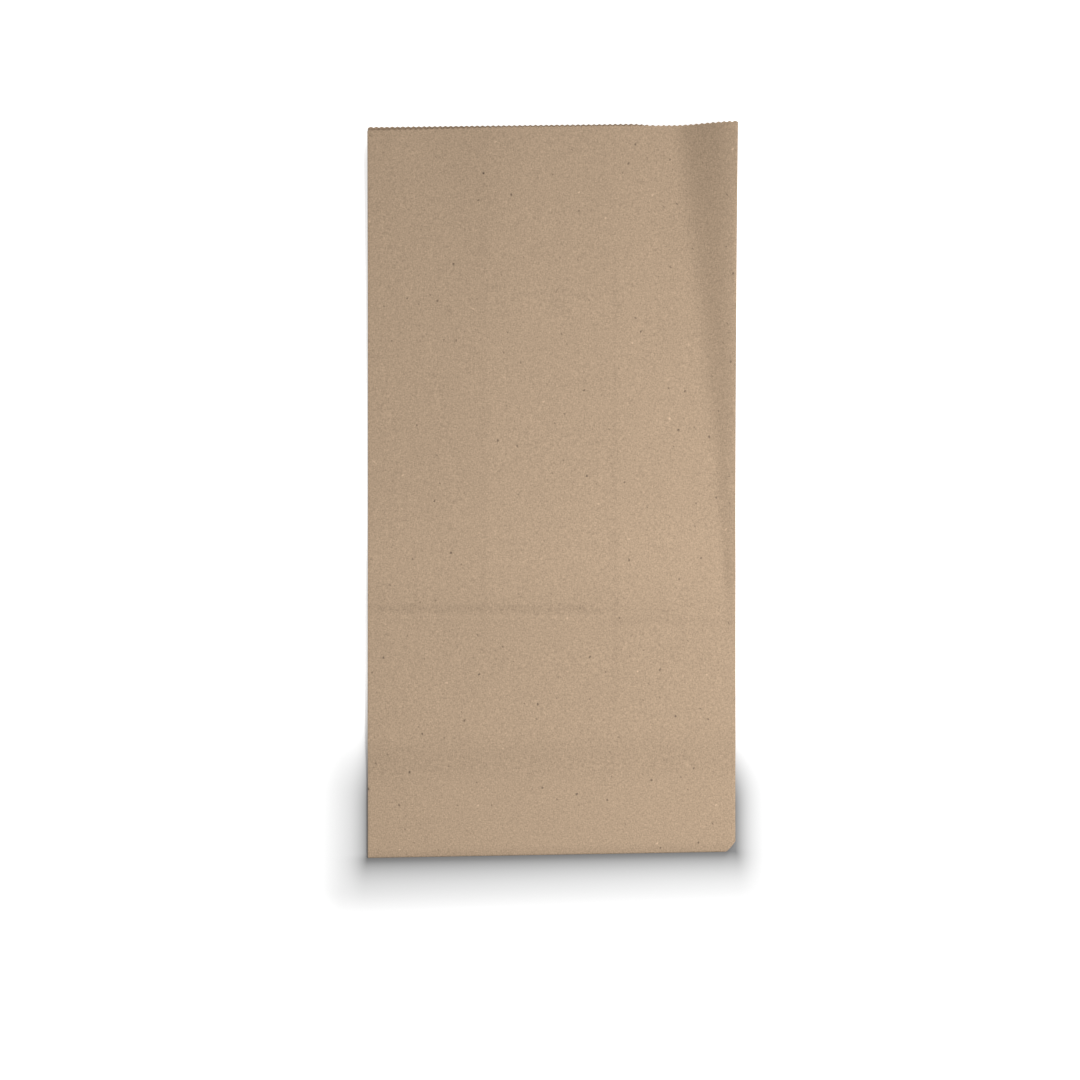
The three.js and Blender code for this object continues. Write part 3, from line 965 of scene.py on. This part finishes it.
@dataclass
class BlockBottom:
    """The block bottom's pasted plies: two flaps, four corner triangles and two ears."""

    shape: RestingShape
    inset: float = 0.07

    @property
    def sizes(self) -> BagSizes:
        """The bag's sizes."""
        return self.shape.sizes

    def flap(self, start: float) -> np.ndarray:
        """Outline of a flap of the near half, whose fold is at the start.

        Args:
            start: Place along the bag of the flap's first row.

        Returns:
            Its corners.
        """
        s = self.sizes
        first = [[start - s.half, start], [s.half - start, start]]
        return np.array([*first, [s.half - s.flap, s.flap], [s.flap - s.half, s.flap]])

    def corner(self, hem: float) -> np.ndarray:
        """Outline of the near right corner's folded triangle.

        Args:
            hem: Radius of the fold that it lies behind.

        Returns:
            Its corners.
        """
        s, g = self.sizes, self.inset
        inside, start = s.half - s.flap + 3.0 * g, hem + 2.0 * g
        tip = [s.half - start - 3.0 * g, start]
        return np.array([[inside, start], tip, [inside, s.flap - 6.0 * g]])

    def far(self, outline: np.ndarray) -> np.ndarray:
        """Mirror an outline from the near half of the bottom to its far half."""
        return (outline * [1.0, -1.0] + [0.0, self.sizes.depth])[::-1]

    def outlines(self) -> list[tuple[np.ndarray, float, float]]:
        """Outlines of all the plies, counter-clockwise from above, with their heights.

        Returns:
            Each ply's corners, lowest and highest height.
        """
        s, g, t = self.sizes, self.inset, self.sizes.paper
        root, tip = s.half - s.flap, s.edge - g
        low, high = s.back_hem - g, s.depth - s.front_hem + g
        ear = np.array([[root, low], [tip, low], [tip, high], [root, high]])
        near, far = self.corner(s.back_hem), self.far(self.corner(s.front_hem))
        plies = [
            (self.flap(s.back_hem + g), 0.0, t + s.nest),
            (self.far(self.flap(s.front_hem + g)), t, 2.0 * t + s.nest),
        ]
        right = [(ear, 3.0 * t, 4.0 * t)]
        right += [(corner, 2.0 * t, 3.0 * t + s.nest) for corner in (near, far)]
        plies += [((ply * [-1.0, 1.0])[::-1], *heights) for ply, *heights in right]
        return plies + right

    def build(self) -> list[tuple[np.ndarray, list[tuple[int, ...]]]]:
        """Give every ply its thickness.

        Returns:
            Vertices and faces of each ply.
        """
        solids = []
        for outline, low, high in self.outlines():
            n = len(outline)
            bottom = np.column_stack([outline, np.full(n, low)])
            top = np.column_stack([outline, np.full(n, high)])
            places = self.shape.settled(np.concatenate([bottom, top]), np.zeros(2 * n))
            faces = [tuple(range(n - 1, -1, -1)), tuple(range(n, 2 * n))]
            faces += [(i, (i + 1) % n, n + (i + 1) % n, n + i) for i in range(n)]
            solids.append((places, faces))
        log.info("bottom: %d pasted plies", len(solids))
        return solids


@dataclass(frozen=True)
class CreaseMark:
    """A shallow straight mark in the paper, from one place to another, in millimetres.

    shade is how much darker the colour is made along it, as painted shade in creases and
    wrinkles; below zero it is paler. fade is the length over which the mark dies out at each end.
    """

    start: tuple[float, float]
    end: tuple[float, float]
    width: float
    depth: float
    shade: float
    fade: float = 12.0


@dataclass(frozen=True)
class Flecks:
    """One kind of fleck in the paper, at most one in each cell of an uneven mesh of cells.

    cell is the cells' size, share the part of them that hold a fleck, radius the flecks' size,
    stretch how much longer than wide they are, turn their direction in degrees, and tone how
    much paler they are.
    """

    cell: float
    share: float
    radius: float
    stretch: float
    turn: float
    tone: float


class NodeGraph:
    """A small helper that adds shader nodes and links them."""

    def __init__(self, tree: bpy.types.NodeTree) -> None:
        """Keep the node tree to work on."""
        self.tree = tree

    def fill(self, node: bpy.types.Node, inputs: Inputs) -> None:
        """Set a node's inputs, by name or number, to values or to output sockets."""
        for name, value in inputs.items():
            if isinstance(value, Socket):
                self.tree.links.new(value, node.inputs[name])
            else:
                node.inputs[name].default_value = value

    def add(self, kind: str, inputs: Inputs | None = None, **settings: str) -> bpy.types.Node:
        """Add one node.

        Args:
            kind: The node's type name.
            inputs: Values or output sockets for its inputs, by name or number.
            **settings: The node's own properties.

        Returns:
            The node.
        """
        node = self.tree.nodes.new(kind)
        for name, value in settings.items():
            setattr(node, name, value)
        self.fill(node, inputs or {})
        return node

    def math(
        self, operation: str, first: Input, second: Input = 0.0, third: Input = 0.0
    ) -> Socket:
        """Add a maths node on up to three values or sockets, and return its result's socket."""
        inputs = {0: first, 1: second, 2: third}
        return self.add("ShaderNodeMath", inputs, operation=operation).outputs[0]

    def vector(self, operation: str, inputs: Inputs, result: int | str = 0) -> Socket:
        """Add a node for maths on vectors, and return the socket of its result."""
        node = self.add("ShaderNodeVectorMath", inputs, operation=operation)
        return node.outputs[result]

    def scaled(self, vector: Socket, factors: Triple, turn: float = 0.0) -> Socket:
        """Turn a coordinate about Z by some degrees, and stretch it along X, Y and Z."""
        spun = self.add(
            "ShaderNodeVectorRotate",
            {"Vector": vector, "Angle": math.radians(turn)},
            rotation_type="Z_AXIS",
        )
        return self.vector("MULTIPLY", {0: spun.outputs[0], 1: factors})

    def noise(self, vector: Socket, detail: float, roughness: float = 0.5) -> Socket:
        """Add a noise of scale 1 with some octaves on a stretched coordinate."""
        inputs = {"Vector": vector, "Scale": 1.0, "Detail": detail, "Roughness": roughness}
        return self.add("ShaderNodeTexNoise", inputs).outputs[0]

    def ramp(
        self, value: Socket, low: float, high: float, to_low: float = 0.0, to_high: float = 1.0
    ) -> Socket:
        """Map a range of a value smoothly to another range.

        Args:
            value: The value's socket.
            low: Start of the range.
            high: End of the range.
            to_low: What the start becomes.
            to_high: What the end becomes.

        Returns:
            The mapped value's socket.
        """
        inputs = {0: value, 1: low, 2: high, 3: to_low, 4: to_high}
        node = self.add("ShaderNodeMapRange", inputs, interpolation_type="SMOOTHSTEP")
        return node.outputs[0]

    def seen(self) -> Socket:
        """1 for what the camera sees, directly, mirrored or through glass, and 0 for light.

        Returns:
            The socket.
        """
        rays = self.add("ShaderNodeLightPath").outputs
        mirrored = self.math("MAXIMUM", rays["Is Camera Ray"], rays["Is Glossy Ray"])
        return self.math("MAXIMUM", mirrored, rays["Is Transmission Ray"])


class Surface(NodeGraph):
    """The node graph of a new material, with the shader that it feeds."""

    def __init__(self, name: str, roughness: float, specular: float) -> None:
        """Make the material.

        Args:
            name: The material's name.
            roughness: How rough the surface is.
            specular: How strongly it shines.
        """
        self.material = bpy.data.materials.new(name)
        self.material.use_nodes = True
        super().__init__(self.material.node_tree)
        self.shader = self.tree.nodes["Principled BSDF"]
        self.fill(self.shader, {"Roughness": roughness, "Specular IOR Level": specular})


def placed(name: str, data: bpy.types.ID) -> bpy.types.Object:
    """Put a new object in the scene.

    Args:
        name: The object's name.
        data: Its mesh, camera or light.

    Returns:
        The object.
    """
    thing = bpy.data.objects.new(name, data)
    bpy.context.scene.collection.objects.link(thing)
    return thing


@dataclass(frozen=True)
class KraftPaper:
    """Uncoated brown kraft paper: fine grain, long fibres, specks, a cloudy formation and crease
    marks with painted shade.

    The scales are cells to a millimetre across and along. Each strand is a direction in
    degrees, the noise from which on it shows, and how much paler it is. fleck_core is the share
    of a fleck's radius with its full tone, and wobble how far the flecks are pushed aside.
    """

    colour: Triple = (0.465, 0.338, 0.229)
    roughness: float = 0.82
    specular: float = 0.25
    grain: float = 0.315
    grain_scale: Triple = (1.7, 1.6, 1.7)
    mottle: float = 0.035
    weave: float = 0.22
    weave_scales: tuple[Triple, Triple] = ((0.8, 2.7, 1.0), (2.7, 0.8, 1.0))
    weave_turn: float = 3.0
    cloud: float = 0.035
    cloud_scale: Triple = (0.16, 0.09, 0.16)
    fibre: float = 0.10
    fibre_scale: Triple = (2.6, 0.22, 1.0)
    strands: tuple[Triple, ...] = ((12.0, 0.72, 1.0), (-64.0, 0.74, 0.8), (97.0, 0.72, -0.8))
    strand_edge: float = 0.07
    fleck_core: float = 0.35
    wobble_scale: float = 0.9
    wobble: float = 0.8
    flecks: tuple[Flecks, ...] = (
        Flecks(14.0, 0.26, 0.60, 1.3, 20.0, -0.52),
        Flecks(6.0, 0.14, 0.44, 1.6, -35.0, -0.34),
        Flecks(17.0, 0.20, 0.55, 1.4, 60.0, 0.42),
        Flecks(19.0, 0.05, 0.40, 5.0, -50.0, 0.28),
        Flecks(23.0, 0.05, 0.40, 4.5, 35.0, -0.30),
    )
    # Crease marks: each bump is real relief, and each darker line is painted shade along the
    # creases and wrinkles.
    marks: tuple[CreaseMark, ...] = (
        CreaseMark((-100.0, -50.2), (28.0, -50.2), 3.2, 0.030, 0.065),
        # Painted highlight: paler along the rim just below the first crease.
        CreaseMark((-100.0, -53.0), (28.0, -53.0), 1.4, 0.010, -0.018),
        CreaseMark((16.0, -55.2), (100.0, -55.6), 2.6, 0.025, 0.048),
        CreaseMark((18.0, -49.9), (100.0, -50.2), 3.6, 0.010, 0.016),
        CreaseMark((-74.0, -102.6), (-28.0, -102.9), 0.9, 0.010, 0.012),
        CreaseMark((20.0, -102.7), (92.0, -102.2), 0.9, 0.010, 0.012),
        CreaseMark((26.8, -102.0), (26.4, 110.0), 2.0, 0.030, 0.030),
        CreaseMark((-29.6, -80.0), (-29.9, 120.0), 2.4, 0.020, 0.012),
        CreaseMark((-2.8, -98.0), (-19.0, -148.0), 3.4, 0.040, 0.022),
        CreaseMark((4.0, -102.0), (-9.0, -152.0), 3.0, 0.030, 0.012),
        # The last two are short paler marks.
        CreaseMark((-12.5, -30.7), (-9.0, -27.9), 0.7, 0.020, -0.07, 2.0),
        CreaseMark((-8.2, -46.6), (-5.0, -43.5), 0.7, 0.020, -0.07, 2.0),
    )

    def mark_profile(self, graph: NodeGraph, place: Socket, mark: CreaseMark) -> Socket:
        """How strongly one mark shows at a place.

        The distance to the mark's line and the place along it are dot products with the
        line's own directions, and both are faded out smoothly.

        Args:
            graph: The node graph.
            place: Socket of the place in millimetres.
            mark: The mark.

        Returns:
            A socket that is 1 on the mark and 0 away from it.
        """
        start, end = np.array(mark.start), np.array(mark.end)
        length = float(np.linalg.norm(end - start))
        along = (end - start) / length
        centre = (start + end) / 2.0
        away = []
        for direction in (np.array([-along[1], along[0]]), along):
            axis = (float(direction[0]), float(direction[1]), 0.0)
            dot = graph.vector("DOT_PRODUCT", {0: place, 1: axis}, "Value")
            offset = graph.math("SUBTRACT", dot, float(centre @ direction))
            away.append(graph.math("ABSOLUTE", offset))
        beside = graph.ramp(away[0], 0.0, mark.width, 1.0, 0.0)
        reach = length / 2.0
        within = graph.ramp(away[1], reach - mark.fade, reach, 1.0, 0.0)
        return graph.math("MULTIPLY", beside, within)

    def fleck_tone(self, graph: NodeGraph, place: Socket, kind: Flecks) -> Socket:
        """How much paler or darker one kind of fleck makes the paper at a place.

        Args:
            graph: The node graph.
            place: Socket of the place in millimetres.
            kind: The kind of fleck.

        Returns:
            The change of tone.
        """
        across, along = 1.0 / kind.cell, 1.0 / (kind.cell * kind.stretch)
        cells = graph.add(
            "ShaderNodeTexVoronoi",
            {"Vector": graph.scaled(place, (across, along, 0.0), kind.turn), "Scale": 1.0},
            voronoi_dimensions="2D",
        )
        size = kind.radius / kind.cell
        near = graph.ramp(cells.outputs["Distance"], self.fleck_core * size, size, 1.0, 0.0)
        parts = graph.add("ShaderNodeSeparateColor", {0: cells.outputs["Color"]})
        chosen = graph.math("GREATER_THAN", parts.outputs[0], 1.0 - kind.share)
        return graph.math("MULTIPLY", graph.math("MULTIPLY", near, chosen), kind.tone)

    def grain_tone(self, graph: NodeGraph, place: Socket) -> tuple[Socket, Socket]:
        """The paper's fine grain: a mottle, short fibres lying both ways, and a soft cloudiness.

        Args:
            graph: The node graph.
            place: Socket of the place in millimetres.

        Returns:
            The tone around 1, and the mottle alone, for the bump.
        """
        grain = graph.noise(graph.scaled(place, self.grain_scale), 1.0, 0.6)
        cloud = graph.noise(graph.scaled(place, self.cloud_scale), 3.0, 0.55)
        layers = [(grain, self.grain), (cloud, self.cloud)]
        for factors in self.weave_scales:
            lying = graph.scaled(place, factors, self.weave_turn)
            layers.append((graph.noise(lying, 1.0), self.weave))
        tone = 1.0
        for noise, amount in layers:
            centred = graph.math("SUBTRACT", noise, 0.5)
            tone = graph.math("MULTIPLY_ADD", centred, 2.0 * amount, tone)
        for turn, low, amount in self.strands:
            strand = graph.noise(graph.scaled(place, self.fibre_scale, turn), 1.0)
            share = graph.ramp(strand, low, low + self.strand_edge)
            tone = graph.math("MULTIPLY_ADD", share, self.fibre * amount, tone)
        return tone, grain

    def build(self) -> bpy.types.Material:
        """Make the material.

        Returns:
            The material.
        """
        graph = Surface("kraft_paper", self.roughness, self.specular)
        place = graph.add("ShaderNodeTexCoord").outputs["Object"]
        place = graph.scaled(place, (1.0 / MM, 1.0 / MM, 1.0 / MM))
        tone, grain = self.grain_tone(graph, place)
        inputs = {"Vector": place, "Scale": self.wobble_scale, "Detail": 1.0}
        wobble = graph.add("ShaderNodeTexNoise", inputs)
        inputs = {0: wobble.outputs[1], 1: (self.wobble, self.wobble, 0.0), 2: place}
        shifted = graph.vector("MULTIPLY_ADD", inputs)
        for kind in self.flecks:
            tone = graph.math("ADD", tone, self.fleck_tone(graph, shifted, kind))
        height = graph.math("MULTIPLY", grain, self.mottle)
        for mark in self.marks:
            profile = self.mark_profile(graph, place, mark)
            # Painted shade: each mark darkens the colour by its shade, and pales it where that is
            # below zero.
            tone = graph.math("MULTIPLY_ADD", profile, -mark.shade, tone)
            height = graph.math("MULTIPLY_ADD", profile, -mark.depth, height)
        tinted = graph.vector("SCALE", {0: self.colour, 3: tone})
        bump = graph.add("ShaderNodeBump", {"Strength": 1.0, "Distance": MM, "Height": height})
        graph.fill(graph.shader, {"Base Color": tinted, "Normal": bump.outputs[0]})
        return graph.material


@dataclass
class PaperBag:
    """The whole bag: one folded and pasted sheet."""

    shape: RestingShape = field(default_factory=RestingShape)
    finish: KraftPaper = field(default_factory=KraftPaper)
    sharp_from: float = 50.0

    def mesh(self) -> bpy.types.Mesh:
        """Make the bag's mesh from its folded plies.

        Returns:
            The mesh, in metres, centred as the bag's own frame is.
        """
        tube = FoldedTube(self.shape)
        sheets = [tube.build(), PastedSeam(tube).build()]
        sheets += [TuckedSide(tube, side).build() for side in Side]
        pairs = [sheet.solid(self.shape) for sheet in sheets]
        solids = [(places, faces.tolist()) for places, faces in pairs]
        solids += BlockBottom(self.shape).build()
        places = np.concatenate([solid[0] for solid in solids])
        low, high = places.min(axis=0), places.max(axis=0)
        places = places - [(low[0] + high[0]) / 2.0, (low[1] + high[1]) / 2.0, low[2]]
        faces, first = [], 0
        for vertices, polygons in solids:
            faces.extend([tuple(first + i for i in polygon) for polygon in polygons])
            first += len(vertices)
        mesh = bpy.data.meshes.new("kraft_bag")
        mesh.from_pydata((places * MM).tolist(), [], faces)
        mesh.validate()
        mesh.polygons.foreach_set("use_smooth", np.ones(len(mesh.polygons), dtype=bool))
        mesh.set_sharp_from_angle(angle=math.radians(self.sharp_from))
        log.info("bag: %d vertices, %d faces", len(mesh.vertices), len(mesh.polygons))
        return mesh

    def build(self) -> bpy.types.Object:
        """Make the bag's object and let it stand for the solid part.

        Returns:
            The object.
        """
        piece = placed("kraft_bag", self.mesh())
        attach(piece, "root")
        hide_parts("bag")
        return piece

    def dress(self, piece: bpy.types.Object) -> None:
        """Give the bag's object its paper."""
        piece.data.materials.append(self.finish.build())


@dataclass(frozen=True)
class FloorPlace:
    """Sockets that say where a place of the floor lies, in metres.

    It lies x across the bag and y along it, beside the bag, beyond its ends and below its
    bottom fold, each below zero within the bag's own bounds.
    """

    x: Socket
    y: Socket
    beside: Socket
    beyond: Socket
    below: Socket


@dataclass(frozen=True)
class Floor:
    """A matt white floor, glowing for the camera alone, with a painted shadow round the bag's
    lower end.

    The glow is what is added for the camera, in white's own strength: beside the bag's lower
    part, beside its upper part, and away from it. The painted shadow's depths are how much darker
    it makes the floor below the bag and at the left and right of its lower part, and the runs how
    far it reaches. fold and slant place the bag's bottom fold. Each pair is where a change starts
    and ends.
    """

    albedo: float = 0.93
    roughness: float = 0.9
    specular: float = 0.1
    half_width: float = 0.078
    half_length: float = 0.155
    fold: float = -0.1543
    slant: float = 0.0172
    glow_near: float = 0.05
    glow_upper: float = 0.60
    glow_away: float = 0.50
    glow_along: tuple[float, float] = (-0.130, -0.070)
    glow_aside: tuple[float, float] = (0.009, 0.038)
    glow_past_ends: tuple[float, float] = (0.013, 0.044)
    painted_shadow_below: float = 0.78
    painted_shadow_left: float = 0.66
    painted_shadow_right: float = 0.76
    painted_shadow_along: tuple[float, float] = (-0.135, -0.095)
    painted_shadow_across: tuple[float, float] = (-0.05, 0.05)
    past_fold: tuple[float, float] = (-0.002, 0.001)
    run_below: float = 0.032
    run_beside: float = 0.020
    falloff: float = 3.0

    def place(self, graph: NodeGraph) -> FloorPlace:
        """Measure where a place of the floor lies.

        Args:
            graph: The node graph.

        Returns:
            The sockets of its measures.
        """
        place = graph.add("ShaderNodeTexCoord").outputs["Object"]
        x, y, _ = graph.add("ShaderNodeSeparateXYZ", {0: place}).outputs
        beside = graph.math("SUBTRACT", graph.math("ABSOLUTE", x), self.half_width)
        beyond = graph.math("SUBTRACT", graph.math("ABSOLUTE", y), self.half_length)
        fold = graph.math("MULTIPLY_ADD", x, self.slant, self.fold)
        return FloorPlace(x, y, beside, beyond, graph.math("SUBTRACT", fold, y))

    def glow(self, graph: NodeGraph, at: FloorPlace) -> Socket:
        """How much white is added for the camera at a place of the floor.

        Args:
            graph: The node graph.
            at: The place.

        Returns:
            The strength's socket.
        """
        aside = graph.ramp(at.beside, *self.glow_aside, 0.0, self.glow_away)
        past_ends = graph.ramp(at.beyond, *self.glow_past_ends, 0.0, self.glow_away)
        upper = graph.ramp(at.y, *self.glow_along, self.glow_near, self.glow_upper)
        return graph.math("ADD", upper, graph.math("ADD", aside, past_ends))

    def nearness(self, graph: NodeGraph, at: FloorPlace) -> Socket:
        """How near a place of the floor is to the bag, 1 at its edge and 0 where the painted
        shadow ends.

        Args:
            graph: The node graph.
            at: The place.

        Returns:
            The nearness's socket.
        """
        beside = graph.math("MAXIMUM", at.beside, 0.0)
        below = graph.math("MAXIMUM", at.below, 0.0)
        across = graph.math("MULTIPLY", beside, 1.0 / self.run_beside)
        down = graph.math("MULTIPLY", below, 1.0 / self.run_below)
        squares = graph.math("MULTIPLY_ADD", across, across, graph.math("MULTIPLY", down, down))
        clear = graph.math("MINIMUM", graph.math("SQRT", squares), 1.0)
        return graph.math("POWER", graph.math("SUBTRACT", 1.0, clear), self.falloff)

    def painted_shadow_white(self, graph: NodeGraph, at: FloorPlace) -> Socket:
        """The floor's white at a place, darkened by a painted shadow near the bag's lower part.

        Args:
            graph: The node graph.
            at: The place.

        Returns:
            The brightness's socket.
        """
        # Painted shadow: the floor is darker near the bag's lower part, most below its bottom
        # fold.
        lower = graph.ramp(at.y, *self.painted_shadow_along, 1.0, 0.0)
        sideways = graph.ramp(at.x, *self.painted_shadow_across, self.painted_shadow_left, self.painted_shadow_right)
        share = graph.ramp(at.below, *self.past_fold)
        extra = graph.math("MULTIPLY", graph.math("SUBTRACT", self.painted_shadow_below, sideways), share)
        shade = graph.math("ADD", sideways, extra)
        near = graph.math("MULTIPLY", self.nearness(graph, at), lower)
        depth = graph.math("MULTIPLY", near, shade)
        return graph.math("MULTIPLY_ADD", depth, -self.albedo, self.albedo)

    def build(self) -> bpy.types.Material:
        """Make the material.

        Returns:
            The material.
        """
        graph = Surface("floor", self.roughness, self.specular)
        at = self.place(graph)
        # The floor's base colour carries the painted shadow.
        white = self.painted_shadow_white(graph, at)
        painted_shadow_grey = graph.add("ShaderNodeCombineColor", {0: white, 1: white, 2: white})
        strength = graph.math("MULTIPLY", self.glow(graph, at), graph.seen())
        graph.fill(graph.shader, {"Base Color": painted_shadow_grey.outputs[0], "Emission Color": WHITE})
        graph.fill(graph.shader, {"Emission Strength": strength})
        return graph.material


@dataclass
class Studio:
    """Camera straight above, a white floor, a near lamp at the right and low light from above.

    The photo is brightest right of the middle and fades away from there, as under a lamp that
    hangs close, and its shadow runs out widely below the bag, as under a low broad light.
    """

    distance: float = 0.90
    frame_width: float = 0.458
    aim: tuple[float, float] = (-0.0049, -0.0209)
    lamp_power: float = 1.28
    lamp_place: Triple = (0.21, -0.07, 0.45)
    lamp_size: float = 0.12
    low_strength: float = 2.6
    low_height: float = 17.0
    low_heading: float = 20.0
    low_spread: float = 26.0
    sky: float = 0.32
    floor_reach: float = 3.0
    floor_drop: float = 0.00003
    floor: Floor = field(default_factory=Floor)

    def add_camera(self) -> None:
        """Put the camera above the bag, looking straight down with the mouth at the top."""
        data = bpy.data.cameras.new("camera")
        data.lens = data.sensor_width * self.distance / self.frame_width
        camera = placed("camera", data)
        camera.location = (self.aim[0], self.aim[1], self.distance)
        bpy.context.scene.camera = camera

    def add_floor(self) -> None:
        """Lay a white floor, with a painted shadow round the bag's lower part, just under the bag.
        """
        mesh = bpy.data.meshes.new("floor")
        r, z = self.floor_reach, -self.floor_drop
        mesh.from_pydata([(-r, -r, z), (r, -r, z), (r, r, z), (-r, r, z)], [], [(0, 1, 2, 3)])
        mesh.materials.append(self.floor.build())
        floor = placed("floor", mesh)

    def add_lamp(self, name: str, kind: str, place: Vector) -> bpy.types.Object:
        """Add one light that shines from a place towards the bag's middle.

        Args:
            name: The light's name.
            kind: AREA or SUN.
            place: Where it hangs.

        Returns:
            The light's object.
        """
        lamp = placed(name, bpy.data.lights.new(name, kind))
        lamp.location = place
        lamp.rotation_euler = (-place).to_track_quat("-Z", "Y").to_euler()
        return lamp

    def add_light(self) -> None:
        """Add the near lamp, the low broad light and an even white surrounding."""
        near = self.add_lamp("near_lamp", "AREA", Vector(self.lamp_place))
        near.data.energy = self.lamp_power
        near.data.size = self.lamp_size
        near.visible_camera = False
        height, heading = math.radians(self.low_height), math.radians(self.low_heading)
        level = math.cos(height)
        way = Vector((level * math.sin(heading), level * math.cos(heading), math.sin(height)))
        low = self.add_lamp("low_light", "SUN", way)
        low.data.energy = self.low_strength
        low.data.angle = math.radians(self.low_spread)
        world = bpy.data.worlds.new("surroundings")
        world.use_nodes = True
        graph = NodeGraph(world.node_tree)
        strength = graph.math("MULTIPLY_ADD", graph.seen(), 1.0 - self.sky, self.sky)
        graph.fill(world.node_tree.nodes["Background"], {"Color": WHITE, "Strength": strength})
        bpy.context.scene.world = world

    def build(self) -> None:
        """Set up the whole studio."""
        self.add_camera()
        self.add_floor()
        self.add_light()
        bpy.context.scene.view_settings.view_transform = "Standard"
        log.info("studio: camera %.2f m above the floor", self.distance)


def main() -> None:
    """Build the studio and the bag, and give the bag its paper."""
    logging.basicConfig(level=logging.INFO, format="%(name)s: %(message)s")
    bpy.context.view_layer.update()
    Studio().build()
    bag = PaperBag()
    piece = bag.build()
    bag.dress(piece)


if __name__ == "__main__":
    main()
